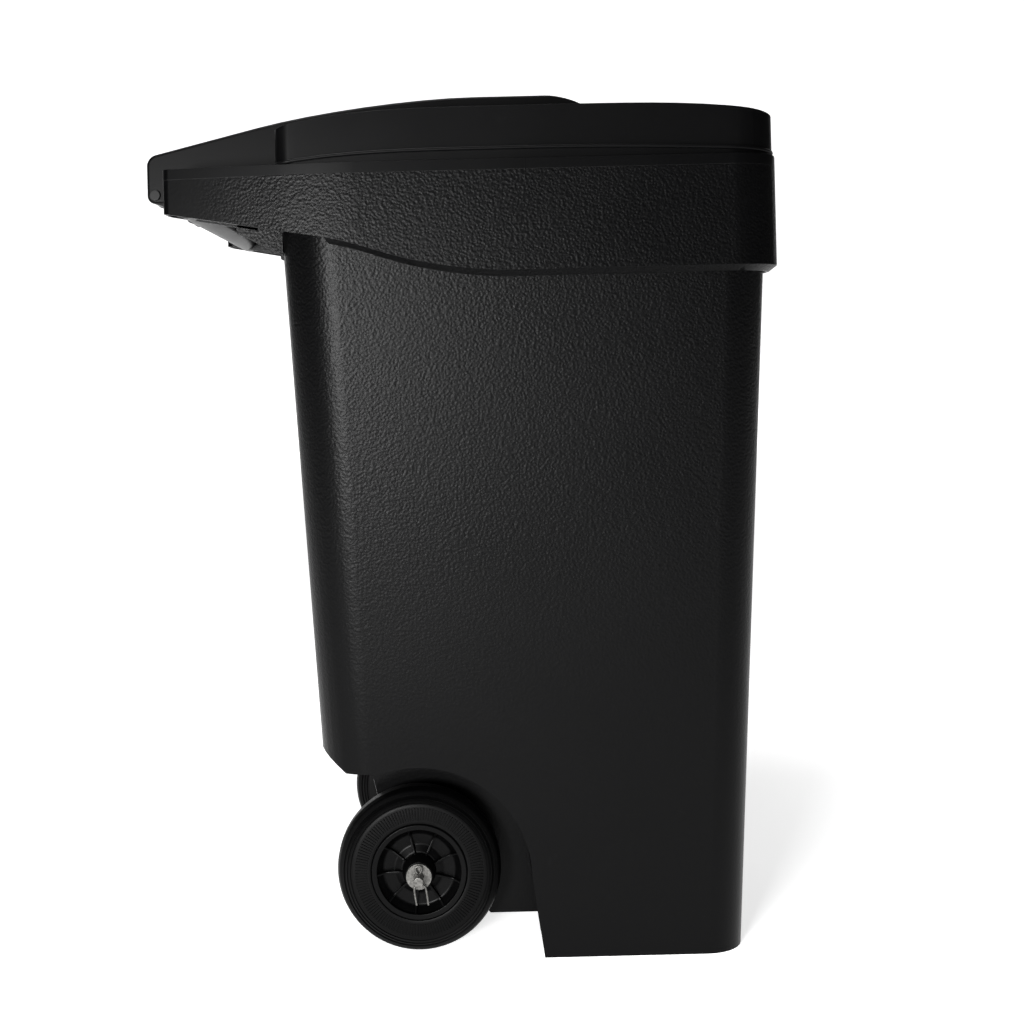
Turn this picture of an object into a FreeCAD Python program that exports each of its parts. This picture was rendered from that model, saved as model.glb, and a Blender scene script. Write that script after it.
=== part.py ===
import FreeCAD, Part
import math
import os
import re
import Sketcher
from FreeCAD import Placement, Rotation, Vector

# A two-wheeled refuse bin of about 240 litres. X runs from the handle to the front, Z up,
# and the origin is on the ground in the middle of the whole bin.

os.makedirs("parts", exist_ok=True)
doc = FreeCAD.newDocument("refuse_bin")
sheet = doc.addObject("Spreadsheet::Sheet", "Sizes")

SIZES = [
    ("overall_length", 760), ("overall_width", 580), ("overall_height", 1045),
    ("rim_below_top", 95), ("wall", 5), ("rim_thickness", 5),
    # plan of the tub: how far the wall stands in from the overall box at the rim and at the foot
    ("skirt_stand_off", 8), ("front_draft_run", 43), ("rear_draft_run", 47), ("side_draft_run", 67),
    ("rear_wall_setback", 168), ("front_corner", 55), ("rear_corner", 70),
    # the stepped underside
    ("raised_floor", 229), ("rear_chamfer_run", 30), ("rear_chamfer_rise", 23),
    ("arch_gap", 36), ("centre_half_width", 135), ("centre_floor", 25), ("foot_start", 88),
    ("centre_start", 24),
    # skirt and side arms
    ("skirt_thickness", 4), ("skirt_depth", 128), ("arm_end_setback", 39), ("arm_end_inset", 28),
    ("arm_width", 40), ("arm_drop", 50), ("rear_rim_width", 14), ("skirt_bend_start", -133),
    ("skirt_bend_end", -10), ("skirt_bend_drop", 89), ("skirt_bend_radius", 450),
    # handle and hinge
    ("handle_radius", 16), ("handle_from_rear", 68), ("handle_below_rim", 38),
    ("hinge_from_rear", 10), ("hinge_below_rim", 18), ("hinge_eye", 10), ("hinge_pin_radius", 4),
    ("hinge_arm_middle", 130), ("hinge_arm_width", 60), ("cheek", 4), ("lug_gap", 4),
    ("pin_head_radius", 7), ("pin_head_height", 3),
    # lid
    ("lid_wall", 4), ("flange_lift", 5), ("lid_flange_thickness", 4), ("lid_flange_inset", 2),
    ("lid_side_inset", 12), ("lid_front_inset", 3), ("side_below_top", 33), ("crown_below_top", 12),
    ("end_below_top", 42), ("lid_rear_setback", 172), ("lip_inset", 7), ("lip_thickness", 3),
    ("rib_front", 171),
    # running gear
    ("wheel_radius", 100), ("wheel_from_rear", 317.5), ("boss_stand_out", 0.9), ("tyre_width", 48),
    ("rim_radius", 59), ("rim_shell", 6), ("web_thickness", 6), ("hub_radius", 21),
    ("hub_half_length", 36), ("bush_wall", 4), ("spoke_count", 9), ("spoke_thickness", 4),
    ("axle_radius", 10), ("tip_radius", 6), ("tip_length", 22), ("washer_thickness", 2.5),
    ("washer_radius", 15.5), ("boss_radius", 20), ("bracket_thickness", 8), ("inner_bracket", 50),
    ("split_pin_radius", 1.8), ("split_pin_leg", 26),
    # fits
    ("running_fit", 0.05), ("side_clearance", 0.3),
]
for row, (alias, size) in enumerate(SIZES, start=1):
    sheet.set("A%d" % row, alias)
    sheet.set("B%d" % row, str(size))
    sheet.setAlias("B%d" % row, alias)
doc.recompute()

ALIASES = {alias for alias, _ in SIZES}

# heights and places that follow from the sizes above
DERIVED = {
    "rim_height": "(overall_height - rim_below_top)",
    "hinge_height": "(rim_height - hinge_below_rim)",
    "handle_height": "(rim_height - handle_below_rim)",
    "skirt_bottom": "(rim_height - skirt_depth)",
    "skirt_bend_top": "(rim_height - skirt_bend_drop)",
    "lid_flange_bottom": "(rim_height + flange_lift)",
    "lid_side_top": "(overall_height - side_below_top)",
    "lid_crown_top": "(overall_height - crown_below_top)",
    "lid_end_top": "(overall_height - end_below_top)",
    "boss_end": "(centre_half_width + boss_stand_out)",
    "wheel_middle": "(boss_end + washer_thickness + 2 * side_clearance + hub_half_length)",
}


def bound(expression):
    """The expression with each alias written as a reference to the sheet."""
    def reference(match):
        word = match[0]
        if word in DERIVED:
            return bound(DERIVED[word])
        return "Sizes." + word if word in ALIASES else word
    return re.sub(r"[a-z_]+", reference, expression)


def value(expression):
    return float(sheet.evalExpression(bound(expression)))


def bind(obj, **expressions):
    """Bind properties; a double underscore in a name stands for a dot."""
    for name, expression in expressions.items():
        obj.setExpression(name.replace("__", "."), bound(expression))
    return obj


PLANES = {
    "XY": Rotation(),
    "XZ": Rotation(Vector(1, 0, 0), 90),
    "YZ": Rotation(Vector(1, 1, 1), 120),
}


def outline(name, plane, corners, offset="0"):
    """A closed sketch through corners (across, up, radius); a radius of None leaves a sharp corner."""
    sketch = doc.addObject("Sketcher::SketchObject", name)
    sketch.Placement = Placement(Vector(), PLANES[plane])
    axis = {"XY": "z", "XZ": "y", "YZ": "x"}[plane]
    sketch.setExpression("Placement.Base." + axis, bound(offset))
    points = [Vector(value(a), value(b), 0) for a, b, _ in corners]
    count = len(corners)
    starts, ends, arcs = [], [], []
    for i, (_, _, radius) in enumerate(corners):
        here = points[i]
        back = (points[i - 1] - here).normalize()
        ahead = (points[(i + 1) % count] - here).normalize()
        if radius is None:
            ends.append(here)
            starts.append(here)
            arcs.append(None)
            continue
        half = back.getAngle(ahead) / 2
        first = here + back * (value(radius) / math.tan(half))
        last = here + ahead * (value(radius) / math.tan(half))
        centre = here + (back + ahead).normalize() * (value(radius) / math.sin(half))
        turns_left = back.cross(ahead).z < 0
        begin, finish = (first, last) if turns_left else (last, first)
        low = math.atan2(begin.y - centre.y, begin.x - centre.x)
        high = math.atan2(finish.y - centre.y, finish.x - centre.x)
        circle = Part.Circle(centre, Vector(0, 0, 1), value(radius))
        arcs.append((Part.ArcOfCircle(circle, low, high if high > low else high + 2 * math.pi), turns_left))
        ends.append(first)
        starts.append(last)
    lines = [sketch.addGeometry(Part.LineSegment(starts[i], ends[(i + 1) % count])) for i in range(count)]
    for i, (across, up, radius) in enumerate(corners):
        before, after = lines[i - 1], lines[i]
        if radius is None:
            sketch.addConstraint(Sketcher.Constraint("Coincident", before, 2, after, 1))
            place = (after, 1)
        else:
            arc = sketch.addGeometry(arcs[i][0])
            head, tail = (1, 2) if arcs[i][1] else (2, 1)
            sketch.addConstraint(Sketcher.Constraint("Tangent", before, 2, arc, head))
            sketch.addConstraint(Sketcher.Constraint("Tangent", arc, tail, after, 1))
            limit = sketch.addConstraint(Sketcher.Constraint("Radius", arc, value(radius)))
            sketch.setExpression("Constraints[%d]" % limit, bound(radius))
            mark = sketch.addGeometry(Part.Point(points[i]), True)
            sketch.addConstraint(Sketcher.Constraint("PointOnObject", mark, 1, before))
            sketch.addConstraint(Sketcher.Constraint("PointOnObject", mark, 1, after))
            place = (mark, 1)
        for kind, amount, number in (("DistanceX", across, points[i].x), ("DistanceY", up, points[i].y)):
            limit = sketch.addConstraint(Sketcher.Constraint(kind, -1, 1, place[0], place[1], number))
            sketch.setExpression("Constraints[%d]" % limit, bound(amount))
    return sketch


def prism(name, plane, corners, start, length):
    """An outline given thickness along its plane's own axis, from start."""
    sketch = outline(name + "_outline", plane, corners, start)
    solid = doc.addObject("Part::Extrusion", name)
    solid.Base = sketch
    solid.DirMode = "Custom"
    solid.Dir = {"XY": Vector(0, 0, 1), "XZ": Vector(0, 1, 0), "YZ": Vector(1, 0, 0)}[plane]
    solid.Solid = True
    return bind(solid, LengthFwd=length)


def loft(name, low, high):
    solid = doc.addObject("Part::Loft", name)
    solid.Sections = [low, high]
    solid.Solid = True
    solid.Ruled = True
    return solid


def rod(name, radius, start, length, x="wheel_from_rear - overall_length / 2", z="wheel_radius"):
    """A cylinder along Y."""
    solid = doc.addObject("Part::Cylinder", name)
    solid.Placement = Placement(Vector(), Rotation(Vector(1, 0, 0), -90))
    bind(solid, Radius=radius, Height=length)
    return bind(solid, Placement__Base__x=x, Placement__Base__y=start, Placement__Base__z=z)


def turned(name, corners):
    """A ring turned about Y from corners (radius, along, fillet), with its axis on the axle."""
    sketch = outline(name + "_outline", "XY", corners)
    ring = doc.addObject("Part::Revolution", name)
    ring.Source = sketch
    ring.Axis = Vector(0, 1, 0)
    ring.Angle = 360
    ring.Solid = True
    return bind(ring, Placement__Base__x=WHEEL_X, Placement__Base__z="wheel_radius")


def fuse(name, shapes):
    result = doc.addObject("Part::MultiFuse", name)
    result.Shapes = shapes
    return result


def common(name, shapes):
    result = doc.addObject("Part::MultiCommon", name)
    result.Shapes = shapes
    return result


def cut(name, base, tool):
    result = doc.addObject("Part::Cut", name)
    result.Base = base
    result.Tool = tool
    return result


def mirrored(name, source):
    """The same shape on the other side of the bin."""
    result = doc.addObject("Part::Mirroring", name)
    result.Source = source
    result.Normal = Vector(0, 1, 0)
    return result


NODES = {}


def node(name, shape):
    shape.Label = name
    NODES[name] = shape
    return shape


def both(name, shape):
    """One node on each side, made on the left and mirrored to the right."""
    node(name + "_left", shape)
    node(name + "_right", mirrored("mirror_" + name, shape))


REAR = "0 - overall_length / 2"
FRONT = "overall_length / 2"
WHEEL_X = "wheel_from_rear - overall_length / 2"
HINGE_X = "hinge_from_rear - overall_length / 2"
HANDLE_X = "handle_from_rear - overall_length / 2"
WALL_FRONT = "(overall_length / 2 - skirt_stand_off)"
WALL_REAR = "(rear_wall_setback - overall_length / 2)"
WALL_SIDE = "(overall_width / 2 - skirt_stand_off)"


def tub_section(name, height, share, inset):
    """A rounded section of the tub; share is how much of the draft has been used at that height."""
    front = "%s - front_draft_run * %s - %s" % (WALL_FRONT, share, inset)
    rear = "%s + rear_draft_run * %s + %s" % (WALL_REAR, share, inset)
    side = "(%s - side_draft_run * %s - %s)" % (WALL_SIDE, share, inset)
    front_radius = "front_corner - " + inset
    rear_radius = "rear_corner - " + inset
    corners = [
        (rear, "0 - " + side, rear_radius), (front, "0 - " + side, front_radius),
        (front, side, front_radius), (rear, side, rear_radius),
    ]
    return outline(name, "XY", corners, height)


def tub_form(name, inset):
    low = tub_section(name + "_low", "0", "1", inset)
    high = tub_section(name + "_high", "rim_height", "0", inset)
    return loft(name, low, high)


CHAMFER_X = "(%s + rear_draft_run + rear_chamfer_run - 11)" % WALL_REAR


def arch_space(name, grow, start, length):
    """What is left open below the raised floor beside the wheel, grown by the wall for the cavity."""
    slope = "(rear_chamfer_rise / rear_chamfer_run)"
    corners = [
        ("overall_length * -0.4", "-10", None),
        ("overall_length * -0.4", "raised_floor + %s + %s * (%s + overall_length * 0.4)"
         % (grow, slope, CHAMFER_X), None),
        (CHAMFER_X, "raised_floor + " + grow, None),
        (WHEEL_X, "raised_floor + " + grow, None),
        (WHEEL_X, "wheel_radius", None),
        ("%s + wheel_radius + arch_gap + %s" % (WHEEL_X, grow), "wheel_radius", None),
        ("foot_start + " + grow, "-10", None),
    ]
    low = prism(name + "_step", "XZ", corners, start, length)
    bow = rod(name + "_bow", "wheel_radius + arch_gap + " + grow, start, length)
    return fuse(name, [low, bow])


def centre_space(name, grow, foot):
    """What is left open below the middle of the tub, where the floor slopes over the axle."""
    slope = "(rear_chamfer_rise / rear_chamfer_run)"
    corners = [
        ("overall_length * -0.4", "-10", None),
        ("overall_length * -0.4", "raised_floor + %s + %s * (%s + overall_length * 0.4)"
         % (grow, slope, CHAMFER_X), None),
        (CHAMFER_X, "raised_floor + " + grow, None),
        ("centre_start + " + grow, "centre_floor + " + grow, None),
        ("foot_start - 5 + " + grow, "centre_floor + " + grow, None),
        ("foot_start - 1.5 + " + grow, foot, None),
        ("overall_length * 0.6", foot, None),
        ("overall_length * 0.6", "-10", None),
    ]
    return prism(name, "XZ", corners, "0 - overall_width / 2", "overall_width")


def rim_plan(name, start, length, inset):
    """The plan of the rim with its two side arms running back to the handle."""
    side = "(overall_width / 2 - %s)" % inset
    tip = "(overall_width / 2 - arm_end_inset - %s)" % inset
    inner = "(overall_width / 2 - arm_end_inset - arm_width + %s)" % inset
    back = "arm_end_setback + %s - overall_length / 2" % inset
    rear = "%s - rear_rim_width + %s" % (WALL_REAR, inset)
    half = [
        (FRONT + " - " + inset, side, "front_corner + 4 - " + inset),
        ("overall_length * -0.21", side, "overall_length"),
        (back, tip, "9 - " + inset),
        (back, inner, "9 - " + inset),
        (rear, inner, "9 + " + inset),
    ]
    other = [(x, "0 - " + y, radius) for x, y, radius in reversed(half)]
    return prism(name, "XY", half + other, start, length)


def skirt():
    """The band under the rim: a thin wall on the rim's plan, cut to a waved lower edge."""
    outside = rim_plan("skirt_outside", "skirt_bottom - 5",
                       "rim_height - skirt_bottom + 5 - rim_thickness / 2", "0")
    inside = rim_plan("skirt_inside", "skirt_bottom - 6", "rim_height - skirt_bottom + 8", "skirt_thickness")
    wave = [
        ("overall_length * -0.6", "rim_height - arm_drop + 19", None),
        ("skirt_bend_start", "skirt_bend_top", "skirt_bend_radius * 2 / 3"),
        ("skirt_bend_end", "skirt_bottom", "skirt_bend_radius"),
        ("overall_length * 0.6", "skirt_bottom", None),
        ("overall_length * 0.6", "rim_height + 20", None),
        ("overall_length * -0.6", "rim_height + 20", None),
    ]
    keep = prism("skirt_wave", "XZ", wave, "0 - overall_width", "overall_width * 2")
    return common("skirt", [cut("skirt_ring", outside, inside), keep])


def hinge_lug():
    """A thick ear from the handle back to the hinge pin, inside one of the lid's arms."""
    half = "(hinge_arm_width / 2 - cheek - lug_gap)"
    start = "hinge_arm_middle - " + half
    length = "2 * " + half
    corners = [
        (HINGE_X, "hinge_height + hinge_eye - 0.5", None), (HANDLE_X, "handle_height + handle_radius", None),
        (HANDLE_X, "handle_height - handle_radius", None), (HINGE_X, "hinge_height - hinge_eye + 0.5", None),
    ]
    plate = prism("lug_plate", "XZ", corners, start, length)
    eye = rod("lug_eye", "hinge_eye - 0.5", start, length, HINGE_X, "hinge_height")
    return fuse("lug", [plate, eye])


def gusset():
    """A web under a side arm that ties it to the rear wall."""
    start = "overall_width / 2 - arm_end_inset - arm_width"
    corners = [
        (WALL_REAR + " - 49", "rim_height - 73", None), (WALL_REAR + " + 7", "rim_height - 102", None),
        (WALL_REAR + " + 7", "rim_height - 1", None), (WALL_REAR + " - 49", "rim_height - 1", None),
    ]
    return prism("gusset", "XZ", corners, start, "skirt_thickness")


def axle_bracket(name, middle, boss_end):
    """A web below the sloping floor with a boss that holds the axle."""
    slope = "((raised_floor - centre_floor) / (centre_start - %s))" % CHAMFER_X
    start = "%s - bracket_thickness / 2" % middle
    corners = [
        ("%s + 26" % CHAMFER_X, "raised_floor + 2 - 26 * " + slope, None),
        ("centre_start - 12", "centre_floor + 2 + 12 * " + slope, None),
        (WHEEL_X + " + boss_radius + 8", "wheel_radius - boss_radius - 4", "12"),
        (WHEEL_X + " - boss_radius - 8", "wheel_radius - boss_radius - 4", "12"),
    ]
    web = prism(name + "_web", "XZ", corners, start, "bracket_thickness")
    boss_start = "(%s - bracket_thickness)" % middle
    boss = rod(name + "_boss", "boss_radius", boss_start, "%s - %s" % (boss_end, boss_start))
    return fuse(name, [web, boss])


def bin_body():
    """The tub, its foot, skirt, side arms, handle, hinge ears and axle brackets, moulded in one."""
    outer = tub_form("tub_outer", "0")
    reach = "overall_width / 2"
    left_arch = arch_space("arch", "0", "centre_half_width", reach)
    outside = cut("tub_stepped", outer, fuse("under", [
        left_arch, mirrored("arch_mirror", left_arch), centre_space("centre", "0", "-1")]))
    inner = tub_form("tub_inner", "wall")
    left_keep = arch_space("arch_keep", "wall", "centre_half_width - wall", reach)
    cavity = cut("cavity", inner, fuse("keep", [
        left_keep, mirrored("arch_keep_mirror", left_keep), centre_space("centre_keep", "wall", "wall")]))
    handle = rod("handle", "handle_radius", "arm_end_inset + 2 - overall_width / 2",
                 "overall_width - 2 * arm_end_inset - 4", HANDLE_X, "handle_height")
    lug, web = hinge_lug(), gusset()
    outer_bracket = axle_bracket("outer_bracket", "(centre_half_width - bracket_thickness / 2)", "boss_end")
    inner_bracket = axle_bracket("inner_bracket_web", "inner_bracket", "(inner_bracket + bracket_thickness)")
    sides = [lug, web, outer_bracket, inner_bracket]
    rim = rim_plan("rim", "rim_height - rim_thickness", "rim_thickness", "0")
    solids = [outside, rim, skirt(), handle] + sides
    solids += [mirrored(piece.Name + "_right", piece) for piece in sides]
    bores = fuse("body_bores", [
        cavity, rod("axle_bore", "axle_radius + running_fit", "0 - overall_width / 2", "overall_width"),
        rod("pin_bore", "hinge_pin_radius + running_fit", "0 - overall_width / 2", "overall_width",
            HINGE_X, "hinge_height")])
    return cut("bin_body_shape", fuse("body_solids", solids), bores)


LID_REAR = "(lid_rear_setback - overall_length / 2)"


def lid_form(name, inset, bottom):
    """The crowned shell: one profile from the side, one from the end and a rounded plan."""
    side = "(overall_width / 2 - lid_side_inset - %s)" % inset
    front = "(overall_length / 2 - lid_front_inset - %s)" % inset
    rear = "(%s + %s)" % (LID_REAR, inset)
    crown = "lid_crown_top + 11 - " + inset
    end_top = "lid_end_top - " + inset
    side_top = "lid_side_top - " + inset
    edge_radius = "14 - " + inset
    along = [
        (rear, bottom, None), (front, bottom, None), (front, end_top, edge_radius),
        ("overall_length * 0.03", crown, "overall_length * 1.6"), (rear, end_top, "8 - " + inset),
    ]
    across = [
        ("0 - " + side, bottom, None), (side, bottom, None), (side, side_top, edge_radius),
        ("0", crown, "overall_length * 1.6"), ("0 - " + side, side_top, edge_radius),
    ]
    radius = "front_corner - 8 - " + inset
    plan = [
        (rear, "0 - " + side, "16 - " + inset), (front, "0 - " + side, radius),
        (front, side, radius), (rear, side, "16 - " + inset),
    ]
    return common(name, [
        prism(name + "_along", "XZ", along, "0 - overall_width", "overall_width * 2"),
        prism(name + "_across", "YZ", across, "0 - overall_length", "overall_length * 2"),
        prism(name + "_plan", "XY", plan, bottom, "overall_height - (%s)" % bottom),
    ])


def lid_plate(name, start, length, inset):
    """The lid's flange and lip share this rounded plan."""
    side = "(overall_width / 2 - lid_flange_inset - %s)" % inset
    front = "(overall_length / 2 - lid_flange_inset - %s)" % inset
    rear = "(%s - 2 + %s)" % (LID_REAR, inset)
    radius = "front_corner - " + inset
    plan = [(rear, "0 - " + side, "18 - " + inset), (front, "0 - " + side, radius),
            (front, side, radius), (rear, side, "18 - " + inset)]
    return prism(name, "XY", plan, start, length)


def hinge_arm():
    """One arm of the lid: a hollow beam from the hinge that runs on as a rib along the top."""
    start = "hinge_arm_middle - hinge_arm_width / 2"
    corners = [
        (REAR, "hinge_height - hinge_eye", "hinge_eye - 0.01"),
        (REAR, "overall_height - 65", "14"),
        (REAR + " + 270", "overall_height", "overall_length * 1.5"),
        ("rib_front - 30", "overall_height", "30"),
        ("rib_front + 5", "overall_height - 22", None),
        ("rib_front + 5", "lid_flange_bottom + 45", None),
        (LID_REAR + " + 2", "lid_flange_bottom + 5", None),
        (LID_REAR + " - 24", "lid_flange_bottom", None),
        (LID_REAR + " - 38", "hinge_height + 4", None),
        (HINGE_X + " + 18", "hinge_height + 4", None),
        (HINGE_X + " + hinge_eye + 4", "hinge_height - hinge_eye", "hinge_eye - 3"),
    ]
    return prism("hinge_arm", "XZ", corners, start, "hinge_arm_width")


def hinge_arm_hollow():
    start = "hinge_arm_middle - hinge_arm_width / 2 + cheek"
    width = "hinge_arm_width - 2 * cheek"
    ceiling = "overall_height - cheek - 0.5"
    behind = [
        (REAR + " - 20", "hinge_height - 40", None),
        (REAR + " - 20", "overall_height - 65 - 20 * 0.24 - cheek", None),
        (LID_REAR + " - cheek", "overall_height - 26 - cheek", None),
        (LID_REAR + " - cheek", "hinge_height - 40", None),
    ]
    along = [
        (LID_REAR + " + cheek", "lid_end_top - 20", None),
        (LID_REAR + " + cheek", "overall_height - 31", None),
        (REAR + " + 270", "overall_height - 13", "300"), (REAR + " + 420", ceiling, None),
        ("rib_front - 32", ceiling, None), ("rib_front - cheek", "overall_height - 22", None),
        ("rib_front - cheek", "lid_end_top - 20", None),
    ]
    return [prism("arm_hollow", "XZ", behind, start, width), prism("rib_hollow", "XZ", along, start, width)]


def lid():
    """The lid: crowned shell, flange, resting lip and two hinge arms, moulded in one."""
    shell = lid_form("lid_outer", "0", "lid_flange_bottom")
    hollow = lid_form("lid_inner", "lid_wall", "rim_height - 20")
    flange = lid_plate("lid_flange", "lid_flange_bottom", "lid_flange_thickness", "0")
    lip = cut("lid_lip", lid_plate("lip_outside", "rim_height + side_clearance",
                                   "lid_flange_bottom - rim_height + 1", "lip_inset"),
              lid_plate("lip_inside", "rim_height - 10", "overall_width / 10", "(lip_inset + lip_thickness)"))
    arm = hinge_arm()
    hollows = hinge_arm_hollow()
    solids = fuse("lid_solids", [shell, flange, arm, mirrored("arm_mirror", arm)])
    tools = [hollow] + hollows + [mirrored(piece.Name + "_right", piece) for piece in hollows]
    tools.append(rod("lid_pin_bore", "hinge_pin_radius + running_fit", "0 - overall_width / 2",
                     "overall_width", HINGE_X, "hinge_height"))
    return fuse("lid_shape", [cut("lid_hollowed", solids, fuse("lid_hollows", tools)), lip])


def hinge_pin():
    """A headed pin through both cheeks of a hinge arm and the ear between them."""
    inner = "hinge_arm_middle - hinge_arm_width / 2 - 1"
    outer = "hinge_arm_middle + hinge_arm_width / 2 + side_clearance"
    shank = rod("pin_shank", "hinge_pin_radius", inner, "hinge_arm_width + 1 + side_clearance",
                HINGE_X, "hinge_height")
    head = rod("pin_head", "pin_head_radius", outer, "pin_head_height", HINGE_X, "hinge_height")
    return fuse("hinge_pin", [shank, head])


SHOULDER = "(wheel_middle + hub_half_length + side_clearance)"
INNER_FACE = "(wheel_middle - hub_half_length - side_clearance)"
BUSH_RADIUS = "axle_radius + 2 * running_fit + bush_wall"


def axle():
    """A steel bar with a turned-down tip at each end, drilled for the split pins."""
    bar = rod("axle_bar", "axle_radius", "0 - " + SHOULDER, "2 * " + SHOULDER)
    reach = "(%s + tip_length)" % SHOULDER
    tips = rod("axle_tips", "tip_radius", "0 - " + reach, "2 * " + reach)
    hole = doc.addObject("Part::Cylinder", "pin_hole")
    bind(hole, Radius="split_pin_radius + running_fit", Height="4 * tip_radius", Placement__Base__x=WHEEL_X,
         Placement__Base__y=PIN_Y, Placement__Base__z="wheel_radius - 2 * tip_radius")
    holes = fuse("pin_holes", [hole, mirrored("hole_mirror", hole)])
    return cut("axle_shape", fuse("axle_solids", [bar, tips]), holes)


PIN_Y = "(%s + washer_thickness + split_pin_radius + 2.5)" % SHOULDER


def split_pin():
    """A split pin: an eye on top, a shank through the axle's tip and two spread legs."""
    eye = doc.addObject("Part::Torus", "pin_eye")
    bind(eye, Radius1="split_pin_radius * 2.4", Radius2="split_pin_radius * 0.8", Placement__Base__x=WHEEL_X,
         Placement__Base__y=PIN_Y, Placement__Base__z="wheel_radius + tip_radius + split_pin_radius * 3.4")
    eye.Placement.Rotation = Rotation(Vector(1, 0, 0), 90)
    shank = doc.addObject("Part::Cylinder", "pin_stem")
    bind(shank, Radius="split_pin_radius", Height="2 * tip_radius + 4", Placement__Base__x=WHEEL_X,
         Placement__Base__y=PIN_Y, Placement__Base__z="wheel_radius - tip_radius - 2")
    legs = []
    for name, side in (("pin_leg_rear", -1), ("pin_leg_front", 1)):
        leg = doc.addObject("Part::Cylinder", name)
        leg.Placement.Rotation = Rotation(Vector(0, 1, 0), 180 - 8 * side)
        bind(leg, Radius="split_pin_radius * 0.6", Height="split_pin_leg",
             Placement__Base__x="%s + %d * split_pin_radius * 0.3" % (WHEEL_X, side),
             Placement__Base__y=PIN_Y, Placement__Base__z="wheel_radius - tip_radius - 1")
        legs.append(leg)
    return fuse("split_pin_shape", [eye, shank] + legs)


def washer(name, inner_radius, start):
    disc = rod(name + "_disc", "washer_radius", start, "washer_thickness")
    hole = rod(name + "_hole", inner_radius + " + running_fit", start + " - 1", "washer_thickness + 2")
    return cut(name, disc, hole)


def tyre():
    """A solid rubber tyre with a shallow seat on the rim and rounded shoulders."""
    low, high = "wheel_middle - tyre_width / 2", "wheel_middle + tyre_width / 2"
    corners = [
        ("rim_radius", low, "2"), ("wheel_radius * 0.88", low, "8"), ("wheel_radius", low + " + 9", "14"),
        ("wheel_radius", high + " - 9", "14"), ("wheel_radius * 0.88", high, "8"), ("rim_radius", high, "2"),
    ]
    return turned("tyre", corners)


def wheel_rim():
    """A moulded centre: barrel, thin disc, long hub and nine ribs on each face."""
    low, high = "wheel_middle - tyre_width / 2", "wheel_middle + tyre_width / 2"
    barrel = turned("rim_barrel", [
        ("rim_radius - rim_shell", low, None), ("rim_radius", low, None),
        ("rim_radius", high, None), ("rim_radius - rim_shell", high, None)])
    disc = rod("rim_disc", "rim_radius - 1", "wheel_middle - web_thickness / 2", "web_thickness")
    hub = rod("rim_hub", "hub_radius", "wheel_middle - hub_half_length", "2 * hub_half_length")
    ribs = []
    for number in range(int(value("spoke_count"))):
        rib = doc.addObject("Part::Box", "rib_%d" % number)
        bind(rib, Length="rim_radius - rim_shell / 2", Width="tyre_width - 16", Height="spoke_thickness")
        turn = Rotation(Vector(0, 1, 0), 360.0 * number / value("spoke_count"))
        rib.Placement = Placement(Vector(), turn)
        edge = turn.multVec(Vector(0, 0, -1))
        bind(rib, Placement__Base__x="%s + spoke_thickness / 2 * %.12f" % (WHEEL_X, edge.x),
             Placement__Base__y="wheel_middle - tyre_width / 2 + 8",
             Placement__Base__z="wheel_radius + spoke_thickness / 2 * %.12f" % edge.z)
        ribs.append(rib)
    seat = rod("bush_seat", BUSH_RADIUS, INNER_FACE, "2 * (hub_half_length + side_clearance)")
    return cut("wheel_rim", fuse("rim_solids", [barrel, disc, hub] + ribs), seat)


def hub_bush():
    sleeve = rod("bush_sleeve", BUSH_RADIUS, "wheel_middle - hub_half_length", "2 * hub_half_length")
    bore = rod("bush_bore", "axle_radius + running_fit", INNER_FACE, "2 * (hub_half_length + side_clearance)")
    return cut("hub_bush", sleeve, bore)


node("bin_body", bin_body())
node("lid", lid())
both("hinge_pin", hinge_pin())
node("axle", axle())
both("tyre", tyre())
both("wheel_rim", wheel_rim())
both("hub_bush", hub_bush())
both("inner_washer", washer("washer_inner", "axle_radius", "%s - washer_thickness" % INNER_FACE))
both("outer_washer", washer("washer_outer", "tip_radius", SHOULDER + " + running_fit"))
both("split_pin", split_pin())
doc.recompute()

for name, shape in NODES.items():
    solid = shape.Shape
    if "Invalid" in shape.State or solid.isNull() or not solid.isValid() or not solid.Solids:
        raise RuntimeError("bad shape: %s %s" % (name, shape.State))
for obj in doc.Objects:
    if "Invalid" in obj.State or "Error" in obj.State:
        raise RuntimeError("object failed: %s %s" % (obj.Name, obj.State))
for name, shape in NODES.items():
    shape.Shape.exportStep("parts/%s.step" % name)
    print(name, len(shape.Shape.Solids), round(shape.Shape.Volume / 1000), shape.Shape.BoundBox)
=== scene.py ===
import bpy
import math
from mathutils import Matrix, Vector


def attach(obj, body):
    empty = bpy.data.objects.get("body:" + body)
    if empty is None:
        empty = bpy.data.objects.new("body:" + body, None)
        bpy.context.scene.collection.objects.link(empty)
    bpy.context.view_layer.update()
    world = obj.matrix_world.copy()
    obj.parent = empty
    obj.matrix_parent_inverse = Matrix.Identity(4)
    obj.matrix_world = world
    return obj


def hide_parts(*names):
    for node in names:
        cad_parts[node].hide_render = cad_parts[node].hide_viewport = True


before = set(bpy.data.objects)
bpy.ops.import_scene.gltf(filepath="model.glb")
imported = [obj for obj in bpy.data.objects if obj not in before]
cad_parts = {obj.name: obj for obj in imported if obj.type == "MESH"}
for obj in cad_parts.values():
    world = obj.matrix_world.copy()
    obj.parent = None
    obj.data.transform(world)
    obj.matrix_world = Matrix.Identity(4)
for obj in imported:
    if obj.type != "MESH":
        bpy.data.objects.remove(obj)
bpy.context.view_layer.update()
MM = 0.001

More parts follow.
